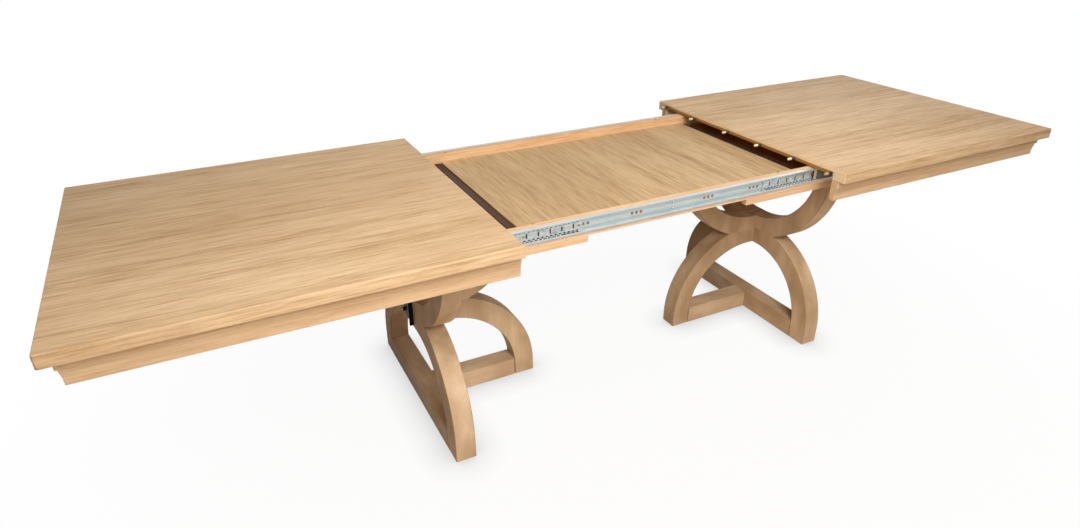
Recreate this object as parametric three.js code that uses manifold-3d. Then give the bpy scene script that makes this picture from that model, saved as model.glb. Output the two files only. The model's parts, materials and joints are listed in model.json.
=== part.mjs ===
// Extending trestle dining table, shown fully open with its leaf stored between the rails.
// Millimetres. X runs along the table, -Y is the front, +Z is up, and the origin is on the floor
// under the middle of the table.
import * as THREE from 'three';
import { mergeVertices } from 'three/addons/utils/BufferGeometryUtils.js';
import Module from 'manifold-3d';

const wasm = await Module();
wasm.setup();

// Whole table
const tableHeight = 762;
const tableWidth = 1016;
const halfLength = 1077;
const slideTravel = 565;
const closedSeam = 0.6;

// Sliding tops: a veneered panel with a deeper edge on three sides
const panelThickness = 19;
const edgeThickness = 35;
const edgeWidth = 51;
const cornerRadius = 6;

// Aprons under the edges: an upper band, a small step and a face that leans in below it
const apronHeight = 68;
const apronBandHeight = 25;
const apronBandInset = 25;
const apronFaceInset = 28.5;
const apronToeInset = 33;
const apronHollow = 1.2;
const mitreGap = 0.3;

// Dowel pins in the right top's inner edge, and their sockets in the left top
const pinDiameter = 9;
const pinDrop = 13;
const pinReach = 31;
const pinRooted = 25;
const pinNose = 4;
const pinFit = 0.3;
const socketClearance = 0.6;
const socketSpare = 3;
const pinPlaceShares = [0.884, 0.51, 0.111, -0.235, -0.562, -0.884];

// Fixed frame: two long rails with battens below them, and between them cross rails and the
// boards that the pedestals are screwed to
const railInset = 141;
const railThickness = 22;
const railHeight = 64;
const railTopClearance = 4;
const railEndClearance = 76;
const battenHeight = 20;
const battenOverhang = 22;
const crossRailHeight = 35;
const crossRailWidth = 45;
const crossRailClearance = 64;
const mountBoardStopClearance = 5;
const mountBoardEndClearance = 66;
const endRailThickness = 22;
const ledgerSize = 15;

// Stored leaf
const leafLength = 1047;
const leafSideClearance = 1;
const leafShift = 36.5;

// Steel angles that keep the stored leaf from sliding
const angleHeight = 27;
const angleReach = 20;
const angleWall = 3;
const angleRise = 2;
const angleClearance = 4;

// Ball-bearing slides: channel on the rail, ball cage, and member under the top
const slideHeight = 45;
const slideDepth = 12.7;
const slideWall = 1.5;
const channelLip = 5;
const embossHeight = 10;
const embossSlope = 1;
const embossDepth = 0.6;
const ballDiameter = 5.4;
const runningGap = 0.3;
const cageWall = 1;
const cageStandoff = 1.5;
const cageEndMargin = 38;
const cageCentreMargin = 69.5;
const leftCageDrift = 32;
const windowWidth = 5;
const windowHeight = 15;
const windowPitch = 37;
const windowStart = 26.5;
const ballPitch = 14;
const ballEndMargin = 12;
const ballsPerGroup = 4;
const memberSetback = 2;
const memberEndMargin = 54;
const memberRecess = 1;
const memberCageGap = 0.9;
const channelHoleDiameter = 6.5;
const channelHolePitch = 15.5;
const channelHolesPerGroup = 3;
const channelHoleStarts = [118, 300, 476];
const channelScrewSpacing = 18.8;
const channelScrewDiameter = 8;
const channelScrewHeight = 1.2;

// Hangers that carry each member under its top, and a narrow tab at its inner end
const hangerLength = 40;
const hangerHeight = 28;
const hangerFoot = 19;
const hangerClearance = 1.3;
const hangerCount = 3;
const hangerEndMargin = 100;
const endTabLength = 9;

// Pedestals: two legs and two arms across the table, and a third pair towards the middle
const boardThickness = 66;
const waistHeight = 363;
const waistBelow = 62;
const legReach = 370;
const legWidth = 74;
const legCentreOffset = 56;
const legCentreHeight = 60;
const crownRise = 11;
const innerWaistDrop = 3;
const innerLegReach = 398;
const innerLegWidth = 73;
const innerLegCentreOffset = 60;
const innerLegCentreHeight = 38;
const innerCrownRise = 16;
const armInset = 3;
const armWidth = 63;
const armCentreRise = 45;
const armCrotchOffset = 16;
const armCrotchRise = 54;
const stretcherHeight = 68;
const jointGap = 0.3;

// Steel bracket on the outer side of each waist
const bracketThickness = 4;
const bracketBottom = 313;
const bracketHeight = 96;
const bracketFront = 36;
const bracketBack = 54;
const bracketFlange = 10;
const boltDiameter = 15;
const boltLength = 9;
const boltOffset = 40;
const boltRise = 24;

// Facet counts
const arcSteps = 10;
const cornerSteps = 2;
const holeSides = 10;
const pinSides = 14;
const noseSteps = 3;
const ballSides = 6;
const ballRings = 4;

// One named overrun serves all cuts
const overrun = 5;

// Levels and half widths that several pieces share
const halfWidth = tableWidth / 2;
const topInner = slideTravel + closedSeam / 2;
const topOuter = topInner + halfLength;
const panelUnderside = tableHeight - panelThickness;
const edgeUnderside = tableHeight - edgeThickness;
const apronBottom = edgeUnderside - apronHeight;
const pinLevel = tableHeight - pinDrop;
const railOuter = halfWidth - railInset;
const railInner = railOuter - railThickness;
const railTop = panelUnderside - railTopClearance;
const railBottom = railTop - railHeight;
const railEnd = halfLength - edgeWidth - railEndClearance;
const armTop = railBottom - battenHeight;
const crossRailTop = armTop + crossRailHeight;
const slideLevel = railTop - slideHeight / 2;
const boardHalf = boardThickness / 2;
const leafHalf = leafLength / 2;

// The inner cross rails clear the rim at the stored leaf's nearer end. Each pedestal stands where
// the tip of its inner arm carries that rail.
const tipOuter = armEdge(armOuterCurve(legOutline(false)), armTop);
const tipInner = armEdge(armInnerCurve(), armTop);
const crossHalf = crossRailWidth / 2;
const innerTipMiddle = leafHalf - leafShift - edgeWidth - crossRailClearance - crossHalf;
const innerTipEnd = innerTipMiddle - (tipOuter - tipInner) / 2;
const pedestalOffset = innerTipEnd + tipOuter + boardHalf;

const up = new THREE.Vector3(0, 0, 1);
const origin = new THREE.Vector3();
const sides = [{ name: 'left', sign: -1 }, { name: 'right', sign: 1 }];
const faces = [{ name: 'front', sign: -1 }, { name: 'back', sign: 1 }];

const finishes = {
  top: { color: 0xc8a880, roughness: 0.55, metalness: 0 },
  apron: { color: 0xc9a679, roughness: 0.6, metalness: 0 },
  pedestal: { color: 0xb08d68, roughness: 0.6, metalness: 0 },
  rail: { color: 0xe9c59a, roughness: 0.65, metalness: 0 },
  leaf: { color: 0xc4a27a, roughness: 0.55, metalness: 0 },
  pin: { color: 0xf0dfc0, roughness: 0.6, metalness: 0 },
  zinc: { color: 0xb8cdd0, roughness: 0.35, metalness: 1 },
  black: { color: 0x1e1c1e, roughness: 0.5, metalness: 0.6 },
};

const table = new THREE.Group();
table.name = 'extending_trestle_table';

function addPiece(name, geometry, finish, position = origin, parent = table) {
  const piece = new THREE.Mesh(geometry, new THREE.MeshStandardMaterial(finishes[finish]));
  piece.name = name;
  piece.position.copy(position);
  parent.add(piece);
  return piece;
}

// The span between two distances from the middle, on the side that sign gives
function spanOn(sign, near, far) {
  return sign > 0 ? [near, far] : [-far, -near];
}

function boxGeometry(x, y, z) {
  const geometry = new THREE.BoxGeometry(x[1] - x[0], y[1] - y[0], z[1] - z[0]);
  geometry.translate((x[0] + x[1]) / 2, (y[0] + y[1]) / 2, (z[0] + z[1]) / 2);
  return geometry;
}

// A profile drawn in distances (outward, up), run along the level line square to outward.
// The run spans low to high on the axis that it follows.
function runProfile(shape, outward, low, high) {
  const along = new THREE.Vector3().crossVectors(outward, up);
  const geometry = new THREE.ExtrudeGeometry(shape, {
    depth: high - low, bevelEnabled: false, curveSegments: arcSteps,
  });
  const start = along.x + along.y > 0 ? low : -high;
  const turn = new THREE.Matrix4().makeBasis(outward, up, along);
  turn.setPosition(along.multiplyScalar(start));
  geometry.applyMatrix4(turn);
  return geometry;
}

function shapeFrom(points) {
  return new THREE.Shape(points.map(([across, rise]) => new THREE.Vector2(across, rise)));
}

function toSolid(source) {
  const geometry = source.clone();
  geometry.deleteAttribute('normal');
  geometry.deleteAttribute('uv');
  const merged = mergeVertices(geometry);
  const corners = merged.index.array;
  const kept = [];
  for (let i = 0; i < corners.length; i += 3) {
    const [a, b, c] = [corners[i], corners[i + 1], corners[i + 2]];
    if (a !== b && b !== c && c !== a) kept.push(a, b, c);
  }
  return new wasm.Manifold(new wasm.Mesh({
    numProp: 3,
    vertProperties: new Float32Array(merged.attributes.position.array),
    triVerts: new Uint32Array(kept),
  }));
}

function toGeometry(solid) {
  const mesh = solid.getMesh();
  const geometry = new THREE.BufferGeometry();
  geometry.setAttribute('position', new THREE.BufferAttribute(mesh.vertProperties, mesh.numProp));
  geometry.setIndex(new THREE.BufferAttribute(mesh.triVerts, 1));
  geometry.computeVertexNormals();
  return geometry;
}

function cutAll(solid, cutters) {
  return cutters.reduce((left, cutter) => left.subtract(toSolid(cutter)), solid);
}

function joinAll(solid, additions) {
  return additions.reduce((whole, addition) => whole.add(toSolid(addition)), solid);
}

// A round bar whose axis lies along X
function barAlongX(diameter, x, y, z, facets) {
  const bar = new THREE.CylinderGeometry(diameter / 2, diameter / 2, x[1] - x[0], facets);
  bar.rotateZ(Math.PI / 2);
  bar.translate((x[0] + x[1]) / 2, y, z);
  return bar;
}

// Sliding tops

// Right-hand plan outline, with its two outer corners rounded
function topPlan() {
  const plan = new THREE.Shape();
  plan.moveTo(topInner, -halfWidth);
  plan.lineTo(topOuter - cornerRadius, -halfWidth);
  plan.absarc(topOuter - cornerRadius, -halfWidth + cornerRadius, cornerRadius, -Math.PI / 2, 0);
  plan.lineTo(topOuter, halfWidth - cornerRadius);
  plan.absarc(topOuter - cornerRadius, halfWidth - cornerRadius, cornerRadius, 0, Math.PI / 2);
  plan.lineTo(topInner, halfWidth);
  return plan;
}

const pinPlaces = pinPlaceShares.map((share) => share * halfWidth);

function topGeometry(side) {
  const slab = new THREE.ExtrudeGeometry(topPlan(), {
    depth: edgeThickness, bevelEnabled: false, curveSegments: cornerSteps,
  });
  slab.translate(0, 0, edgeUnderside);
  if (side.sign < 0) slab.rotateZ(Math.PI);
  const recess = boxGeometry(
    spanOn(side.sign, topInner - overrun, topOuter - edgeWidth),
    [-halfWidth + edgeWidth, halfWidth - edgeWidth],
    [edgeUnderside - overrun, panelUnderside],
  );
  const left = side.sign < 0;
  const bore = pinDiameter + 2 * (left ? socketClearance : pinFit);
  const depth = left ? pinReach + socketSpare : pinRooted;
  const bores = pinPlaces.map((place) => barAlongX(
    bore, spanOn(side.sign, topInner - overrun, topInner + depth), place, pinLevel, holeSides,
  ));
  return toGeometry(cutAll(toSolid(slab), [recess, ...bores]));
}

// A dowel pin is a plain cylinder with a rounded nose, drawn along its axis from the rooted end
function pinGeometry() {
  const length = pinRooted + pinReach - pinFit;
  const radius = pinDiameter / 2;
  const profile = [new THREE.Vector2(0, 0), new THREE.Vector2(radius, 0)];
  for (let step = 0; step <= noseSteps; step += 1) {
    const turn = (step / noseSteps) * (Math.PI / 2);
    const across = step === noseSteps ? 0 : radius * Math.cos(turn);
    profile.push(new THREE.Vector2(across, length - pinNose + pinNose * Math.sin(turn)));
  }
  const pin = new THREE.LatheGeometry(profile, pinSides);
  pin.rotateZ(Math.PI / 2);
  return toGeometry(toSolid(pin));
}

// Apron section in distances inward from the table's edge and up from the floor
function apronShape() {
  const shape = new THREE.Shape();
  const step = edgeUnderside - apronBandHeight;
  const middle = (step + apronBottom) / 2;
  const hollow = (apronFaceInset + apronToeInset) / 2 + 2 * apronHollow;
  shape.moveTo(apronBandInset, edgeUnderside);
  shape.lineTo(apronBandInset, step);
  shape.lineTo(apronFaceInset, step);
  shape.quadraticCurveTo(hollow, middle, apronToeInset, apronBottom);
  shape.lineTo(edgeWidth, apronBottom);
  shape.lineTo(edgeWidth, edgeUnderside);
  return shape;
}

// Everything past the mitre line of one outer corner, seen in plan as a triangle.
// keep is 'long' for the long apron, which loses what lies nearer the end than the edge.
function mitreCutter(side, face, keep) {
  const reach = edgeWidth + overrun;
  const shift = mitreGap / 2;
  const corner = new THREE.Shape();
  if (keep === 'long') {
    corner.moveTo(shift - overrun, -overrun);
    corner.lineTo(reach + shift, reach);
    corner.lineTo(-overrun - reach, reach);
    corner.lineTo(-overrun - reach, -overrun);
  } else {
    corner.moveTo(-overrun, shift - overrun);
    corner.lineTo(reach, reach + shift);
    corner.lineTo(reach, -overrun - reach);
    corner.lineTo(-overrun, -overrun - reach);
  }
  const cutter = new THREE.ExtrudeGeometry(corner, {
    depth: apronHeight + 2 * overrun, bevelEnabled: false,
  });
  // drawn in insets from the end (x) and from the edge (y); turned into the table's corner
  const place = new THREE.Matrix4().makeBasis(
    new THREE.Vector3(-side.sign, 0, 0),
    new THREE.Vector3(0, -face.sign, 0),
    up,
  );
  place.setPosition(side.sign * topOuter, face.sign * halfWidth, apronBottom - overrun);
  cutter.applyMatrix4(place);
  if (side.sign * face.sign < 0) flipFaces(cutter);
  return cutter;
}

// A mirrored placement turns a solid inside out, so its triangles are turned back
function flipFaces(geometry) {
  const places = geometry.attributes.position.array;
  for (let i = 0; i < places.length; i += 9) {
    for (let axis = 0; axis < 3; axis += 1) {
      [places[i + axis], places[i + 3 + axis]] = [places[i + 3 + axis], places[i + axis]];
    }
  }
}

function longApron(side, face) {
  const inward = new THREE.Vector3(0, -face.sign, 0);
  const run = runProfile(apronShape(), inward, ...spanOn(side.sign, topInner, topOuter));
  run.translate(0, face.sign * halfWidth, 0);
  return toGeometry(cutAll(toSolid(run), [mitreCutter(side, face, 'long')]));
}

function endApron(side) {
  const inward = new THREE.Vector3(-side.sign, 0, 0);
  const run = runProfile(apronShape(), inward, -halfWidth, halfWidth);
  run.translate(side.sign * topOuter, 0, 0);
  const cutters = faces.map((face) => mitreCutter(side, face, 'end'));
  return toGeometry(cutAll(toSolid(run), cutters));
}

for (const side of sides) {
  addPiece(`${side.name}_top`, topGeometry(side), 'top');
  addPiece(`${side.name}_end_apron`, endApron(side), 'apron');
  for (const face of faces) {
    addPiece(`${side.name}_${face.name}_apron`, longApron(side, face), 'apron');
  }
}

pinPlaces.forEach((place, index) => {
  const seat = new THREE.Vector3(topInner + pinRooted - pinFit, place, pinLevel);
  addPiece(`dowel_pin_${index + 1}`, pinGeometry(), 'pin', seat);
});

// Fixed frame

for (const face of faces) {
  addPiece(`${face.name}_rail`, boxGeometry(
    [-railEnd, railEnd], spanOn(face.sign, railInner, railOuter), [railBottom, railTop],
  ), 'rail');
  addPiece(`${face.name}_ledger`, boxGeometry(
    [-innerTipMiddle + crossHalf, innerTipMiddle - crossHalf],
    spanOn(face.sign, railInner - ledgerSize, railInner),
    [crossRailTop - ledgerSize, crossRailTop],
  ), 'rail');
  for (const side of sides) {
    addPiece(`${side.name}_${face.name}_batten`, boxGeometry(
      spanOn(side.sign, innerTipEnd - battenOverhang, railEnd),
      spanOn(face.sign, railInner, railOuter),
      [armTop, railBottom],
    ), 'rail');
  }
}

// Where the steel angle's wall stands, just beyond the stored leaf's end
function stopPlace(side) {
  return leafHalf + side.sign * leafShift + angleClearance;
}

const endRailInner = railEnd - endRailThickness;
const mountBoardInner = Math.max(...sides.map(stopPlace)) + angleReach + mountBoardStopClearance;

const crossRails = [
  { name: 'inner_cross_rail',
    reach: [innerTipMiddle - crossHalf, innerTipMiddle + crossHalf],
    levels: [armTop, crossRailTop] },
  { name: 'outer_cross_rail',
    reach: [mountBoardInner, endRailInner - mountBoardEndClearance],
    levels: [armTop, crossRailTop] },
  { name: 'end_rail', reach: [endRailInner, railEnd], levels: [railBottom, railTop] },
];

for (const side of sides) {
  for (const { name, reach, levels } of crossRails) {
    const rail = boxGeometry(spanOn(side.sign, ...reach), [-railInner, railInner], levels);
    addPiece(`${side.name}_${name}`, rail, 'rail');
  }
}

// Stored leaf: it lies lengthwise between the rails, on the ledgers and inner cross rails

const leafTop = crossRailTop + panelThickness;

function leafGeometry() {
  const leafSide = railInner - leafSideClearance;
  const width = [-leafSide, leafSide];
  const board = boxGeometry([-leafHalf, leafHalf], width, [leafTop - edgeThickness, leafTop]);
  const recess = boxGeometry(
    [-leafHalf + edgeWidth, leafHalf - edgeWidth],
    [-leafSide - overrun, leafSide + overrun],
    [leafTop - edgeThickness - overrun, crossRailTop],
  );
  return toGeometry(cutAll(toSolid(board), [recess]));
}

addPiece('stored_leaf', leafGeometry(), 'leaf', new THREE.Vector3(leafShift, 0, 0));

// Angle section in distances away from the leaf and up from the wall's lower edge: a wall that
// faces the leaf's end, and a level leg on top
function angleGeometry(side) {
  const legUnderside = angleHeight - angleWall;
  const section = shapeFrom([
    [0, 0], [angleWall, 0], [angleWall, legUnderside], [angleReach, legUnderside],
    [angleReach, angleHeight], [0, angleHeight],
  ]);
  const outward = new THREE.Vector3(side.sign, 0, 0);
  const run = runProfile(section, outward, -railInner, railInner);
  run.translate(side.sign * stopPlace(side), 0, railBottom + angleRise);
  return run;
}

for (const side of sides) {
  addPiece(`${side.name}_leaf_stop`, angleGeometry(side), 'black');
}

// Ball-bearing slides. Sections are drawn in distances outward from the rail and up from the
// slide's middle line.

const raceLevel = slideHeight / 2 - slideWall - runningGap - ballDiameter / 2;
const raceDepth = slideDepth / 2;
const memberHalf = raceLevel - ballDiameter / 2 - runningGap;
const memberFace = slideDepth - memberRecess;
const cageBack = slideWall + cageStandoff;
const cageHalf = raceLevel + cageWall / 2;
const cageEdge = raceDepth + ballDiameter / 2 + cageWall / 2;

// Mirrors the upper half of a section about the slide's middle line
function closedSection(upperHalf) {
  const lowerHalf = upperHalf.map(([across, rise]) => [across, -rise]).reverse();
  return shapeFrom([...upperHalf, ...lowerHalf]);
}

function channelSection() {
  const half = slideHeight / 2;
  const band = embossHeight / 2;
  return closedSection([
    [embossDepth, band], [0, band + embossSlope], [0, half], [slideDepth, half],
    [slideDepth, half - channelLip], [slideDepth - slideWall, half - channelLip],
    [slideDepth - slideWall, half - slideWall], [slideWall, half - slideWall],
    [slideWall, band + embossSlope], [slideWall + embossDepth, band],
  ]);
}

function cageSection() {
  return closedSection([
    [cageBack, cageHalf], [cageEdge, cageHalf], [cageEdge, cageHalf - cageWall],
    [cageBack + cageWall, cageHalf - cageWall],
  ]);
}

function memberSection() {
  const toe = cageBack + cageWall + memberCageGap;
  return closedSection([
    [memberFace, memberHalf], [toe, memberHalf], [toe, memberHalf - slideWall],
    [memberFace - slideWall, memberHalf - slideWall],
  ]);
}

function slideRun(section, face, low, high) {
  const run = runProfile(section, new THREE.Vector3(0, face.sign, 0), low, high);
  run.translate(0, face.sign * railOuter, slideLevel);
  return run;
}

// A round cutter or boss that stands square to the rail
function barAlongY(diameter, x, y, z, facets) {
  const bar = new THREE.CylinderGeometry(diameter / 2, diameter / 2, y[1] - y[0], facets);
  bar.translate(x, (y[0] + y[1]) / 2, z);
  return bar;
}

function channelGeometry(face) {
  const web = spanOn(face.sign, railOuter - overrun, railOuter + raceDepth);
  const holes = [];
  for (const start of channelHoleStarts) {
    for (let index = 0; index < channelHolesPerGroup; index += 1) {
      const place = start + index * channelHolePitch;
      for (const x of [-place, place]) {
        holes.push(barAlongY(channelHoleDiameter, x, web, slideLevel, holeSides));
      }
    }
  }
  const headTop = railOuter + slideWall + channelScrewHeight;
  const head = spanOn(face.sign, railOuter + slideWall / 2, headTop);
  const heads = [-1, 1].map((sign) => barAlongY(
    channelScrewDiameter, 0, head, slideLevel + (sign * channelScrewSpacing) / 2, holeSides,
  ));
  const run = slideRun(channelSection(), face, -railEnd, railEnd);
  return toGeometry(cutAll(joinAll(toSolid(run), heads), holes));
}

// A window is an upright slot with round ends, cut through the cage's web
function windowCutter(face, x) {
  const radius = windowWidth / 2;
  const straight = windowHeight / 2 - radius;
  const slot = new THREE.Shape();
  slot.absarc(0, straight, radius, 0, Math.PI);
  slot.absarc(0, -straight, radius, Math.PI, Math.PI * 2);
  const depth = cageStandoff + cageWall;
  const cutter = new THREE.ExtrudeGeometry(slot, {
    depth, bevelEnabled: false, curveSegments: cornerSteps,
  });
  cutter.rotateX(Math.PI / 2);
  const near = face.sign * (cageBack - cageStandoff / 2);
  cutter.translate(x, face.sign * railOuter + near + (face.sign > 0 ? depth : 0), slideLevel);
  return cutter;
}

const cageInner = slideTravel / 2 + cageCentreMargin;
const cageOuter = railEnd - cageEndMargin;

// The left cages have crept a little towards the middle, as a ball cage does in use
function cageGeometry(side, face) {
  const drift = side.sign < 0 ? leftCageDrift : 0;
  const [near, far] = [cageInner - drift, cageOuter - drift];
  const windows = [];
  for (let place = near + windowStart + windowWidth / 2; place < far - windowStart;
    place += windowPitch) {
    windows.push(windowCutter(face, side.sign * place));
  }
  const balls = [];
  for (let index = 0; index < ballsPerGroup; index += 1) {
    const along = ballEndMargin + index * ballPitch;
    for (const place of [near + along, far - along]) {
      for (const level of [slideLevel - raceLevel, slideLevel + raceLevel]) {
        const ball = new THREE.SphereGeometry(ballDiameter / 2, ballSides, ballRings);
        ball.translate(side.sign * place, face.sign * (railOuter + raceDepth), level);
        balls.push(ball);
      }
    }
  }
  const run = slideRun(cageSection(), face, ...spanOn(side.sign, near, far));
  return toGeometry(joinAll(cutAll(toSolid(run), windows), balls));
}

const memberInner = topInner + memberSetback;
const memberLength = railEnd - memberEndMargin - memberSetback - closedSeam / 2;

function memberGeometry(side, face) {
  const outerFace = railOuter + memberFace;
  const drop = railOuter + slideDepth + hangerClearance;
  const footEdge = drop + hangerFoot;
  const reaches = [[memberInner, memberInner + endTabLength]];
  for (let index = 0; index < hangerCount; index += 1) {
    const step = (memberLength - 2 * hangerEndMargin) / (hangerCount - 1);
    const middle = memberInner + hangerEndMargin + index * step;
    reaches.push([middle - hangerLength / 2, middle + hangerLength / 2]);
  }
  const levels = [slideLevel - hangerHeight / 2, slideLevel + hangerHeight / 2];
  const bridge = spanOn(face.sign, outerFace - slideWall / 2, drop + slideWall);
  const riser = spanOn(face.sign, drop, drop + slideWall);
  const foot = spanOn(face.sign, drop, footEdge);
  const hangers = reaches.flatMap((reach) => {
    const x = spanOn(side.sign, ...reach);
    return [
      boxGeometry(x, bridge, levels),
      boxGeometry(x, riser, [levels[0], panelUnderside]),
      boxGeometry(x, foot, [panelUnderside - slideWall, panelUnderside]),
    ];
  });
  const span = spanOn(side.sign, memberInner, memberInner + memberLength);
  return toGeometry(joinAll(toSolid(slideRun(memberSection(), face, ...span)), hangers));
}

for (const face of faces) {
  addPiece(`${face.name}_slide_channel`, channelGeometry(face), 'zinc');
  for (const side of sides) {
    addPiece(`${side.name}_${face.name}_ball_cage`, cageGeometry(side, face), 'zinc');
    addPiece(`${side.name}_${face.name}_slide_member`, memberGeometry(side, face), 'zinc');
  }
}

// Pedestals. Outlines are drawn in distances out from the pedestal's middle and up from the floor.

// How far out an ellipse's edge lies at a level
function armEdge(curve, level) {
  const share = (level - curve.centreHeight) / curve.tall;
  return curve.centre + curve.wide * Math.sqrt(1 - share * share);
}

// Where the ellipse's edge lies at a level, as the angle that an arc is drawn to
function curveAngle(curve, level) {
  return Math.asin((level - curve.centreHeight) / curve.tall);
}

function legOutline(isInner) {
  const centre = isInner ? innerLegCentreOffset : legCentreOffset;
  const centreHeight = isInner ? innerLegCentreHeight : legCentreHeight;
  const reach = isInner ? innerLegReach : legReach;
  const width = isInner ? innerLegWidth : legWidth;
  const waist = isInner ? waistHeight - innerWaistDrop : waistHeight;
  const crown = waist + (isInner ? innerCrownRise : crownRise);
  const archTop = waistHeight - waistBelow;
  return {
    waist,
    start: isInner ? boardHalf : 0,
    outer: { centre, centreHeight, wide: reach - centre, tall: crown - centreHeight },
    inner: { centre, centreHeight, wide: reach - width - centre, tall: archTop - centreHeight },
  };
}

// The arm's outer curve stands above the rail's outer face and meets the leg at the waist
function armOuterCurve(leg) {
  const centreHeight = armTop + armCentreRise;
  const wide = railOuter - armInset;
  const meets = (armEdge(leg.outer, leg.waist) - leg.start) / wide;
  const tall = (centreHeight - leg.waist) / Math.sqrt(1 - meets * meets);
  return { centre: 0, centreHeight, wide, tall };
}

function armInnerCurve() {
  const centreHeight = armTop + armCentreRise;
  const wide = railOuter - armInset - armWidth - armCrotchOffset;
  const tall = centreHeight - (waistHeight + armCrotchRise);
  return { centre: armCrotchOffset, centreHeight, wide, tall };
}

function legShape(isInner) {
  const { waist, start, outer, inner } = legOutline(isInner);
  const shape = new THREE.Shape();
  shape.moveTo(inner.centre + inner.wide, 0);
  shape.lineTo(outer.centre + outer.wide, 0);
  shape.absellipse(outer.centre, outer.centreHeight, outer.wide, outer.tall,
    0, curveAngle(outer, waist), false, 0);
  shape.lineTo(start, waist);
  shape.lineTo(start, inner.centreHeight + inner.tall);
  shape.absellipse(inner.centre, inner.centreHeight, inner.wide, inner.tall,
    Math.PI / 2, 0, true, 0);
  return shape;
}

function armShape(isInner) {
  const leg = legOutline(isInner);
  const outer = armOuterCurve(leg);
  const inner = armInnerCurve();
  const shape = new THREE.Shape();
  shape.moveTo(leg.start, inner.centreHeight - inner.tall);
  shape.lineTo(leg.start, leg.waist);
  shape.absellipse(leg.start, outer.centreHeight, outer.wide, outer.tall,
    curveAngle(outer, leg.waist), curveAngle(outer, armTop), false, 0);
  shape.absellipse(leg.start + inner.centre, inner.centreHeight, inner.wide, inner.tall,
    curveAngle(inner, armTop), -Math.PI / 2, true, 0);
  return shape;
}

// The face of a leg's inner side at the stretcher's top, where the stretcher ends
function legInside(isInner) {
  const { inner } = legOutline(isInner);
  return armEdge(inner, Math.max(stretcherHeight, inner.centreHeight)) - jointGap;
}

function bracketGeometry(side) {
  const face = boardHalf;
  const levels = [bracketBottom, bracketBottom + bracketHeight];
  const front = [-bracketFront, -bracketFront + bracketThickness];
  const plate = boxGeometry(
    spanOn(side.sign, face, face + bracketThickness), [-bracketFront, bracketBack], levels);
  const flange = boxGeometry(
    spanOn(side.sign, face, face + bracketThickness + bracketFlange), front, levels);
  const bolt = barAlongX(boltDiameter,
    spanOn(side.sign, face, face + bracketThickness + boltLength),
    boltOffset, bracketBottom + boltRise, holeSides);
  return toGeometry(joinAll(toSolid(plate), [flange, bolt]));
}

for (const side of sides) {
  const pedestal = new THREE.Group();
  pedestal.position.set(side.sign * pedestalOffset, 0, 0);
  table.add(pedestal);

  for (const face of faces) {
    const outward = new THREE.Vector3(0, face.sign, 0);
    const leg = runProfile(legShape(false), outward, -boardHalf, boardHalf);
    const arm = runProfile(armShape(false), outward, -boardHalf, boardHalf);
    addPiece(`${side.name}_${face.name}_leg`, leg, 'pedestal', origin, pedestal);
    addPiece(`${side.name}_${face.name}_arm`, arm, 'pedestal', origin, pedestal);
  }

  const inward = new THREE.Vector3(-side.sign, 0, 0);
  const innerLeg = runProfile(legShape(true), inward, -boardHalf, boardHalf);
  const innerArm = runProfile(armShape(true), inward, -boardHalf, boardHalf);
  addPiece(`${side.name}_inner_leg`, innerLeg, 'pedestal', origin, pedestal);
  addPiece(`${side.name}_inner_arm`, innerArm, 'pedestal', origin, pedestal);

  const across = [-boardHalf, boardHalf];
  const crossReach = legInside(false);
  addPiece(`${side.name}_cross_stretcher`, boxGeometry(
    across, [-crossReach, crossReach], [0, stretcherHeight],
  ), 'pedestal', origin, pedestal);
  addPiece(`${side.name}_inner_stretcher`, boxGeometry(
    spanOn(-side.sign, boardHalf, legInside(true)), across, [0, stretcherHeight],
  ), 'pedestal', origin, pedestal);
  addPiece(`${side.name}_waist_bracket`, bracketGeometry(side), 'black', origin, pedestal);
}

export default table;
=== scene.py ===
"""Dresses the extending trestle table's frame of CAD parts and sets up its studio.

Metres. X runs along the table, -Y is the front, +Z is up, and the origin is on the floor under the
middle of the table. A finished piece holds its place in its mesh.
"""

import itertools
import json
import math

import bmesh
import bpy
from bpy.props import FloatProperty, FloatVectorProperty, IntProperty, PointerProperty
from mathutils import Matrix, Vector

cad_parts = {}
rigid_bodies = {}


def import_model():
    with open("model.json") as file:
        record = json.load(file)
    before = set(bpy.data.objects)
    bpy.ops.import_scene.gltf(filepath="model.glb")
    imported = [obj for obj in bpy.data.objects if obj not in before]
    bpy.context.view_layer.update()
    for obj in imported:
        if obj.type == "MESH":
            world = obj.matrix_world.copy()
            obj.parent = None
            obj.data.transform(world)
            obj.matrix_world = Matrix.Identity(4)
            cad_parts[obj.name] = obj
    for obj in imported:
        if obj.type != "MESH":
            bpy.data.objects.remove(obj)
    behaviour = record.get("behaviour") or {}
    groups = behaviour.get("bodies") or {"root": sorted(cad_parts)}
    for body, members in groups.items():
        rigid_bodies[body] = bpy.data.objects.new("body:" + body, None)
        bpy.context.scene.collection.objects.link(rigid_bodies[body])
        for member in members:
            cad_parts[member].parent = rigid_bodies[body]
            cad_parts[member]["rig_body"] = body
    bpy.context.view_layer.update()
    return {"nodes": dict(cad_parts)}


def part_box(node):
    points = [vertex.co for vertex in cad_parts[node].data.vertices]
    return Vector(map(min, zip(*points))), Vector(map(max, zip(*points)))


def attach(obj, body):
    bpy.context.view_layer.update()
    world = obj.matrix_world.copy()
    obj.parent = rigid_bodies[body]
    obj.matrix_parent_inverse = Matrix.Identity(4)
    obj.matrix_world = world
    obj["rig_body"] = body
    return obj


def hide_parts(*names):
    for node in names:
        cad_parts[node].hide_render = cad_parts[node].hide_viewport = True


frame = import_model()

bl_info = {
    "name": "Extending trestle table",
    "version": (1, 0, 0),
    "blender": (4, 5, 0),
    "location": "3D View > Sidebar > Table",
    "description": "Dresses an extending trestle table and sets up its studio",
    "category": "Object",
}

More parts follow.
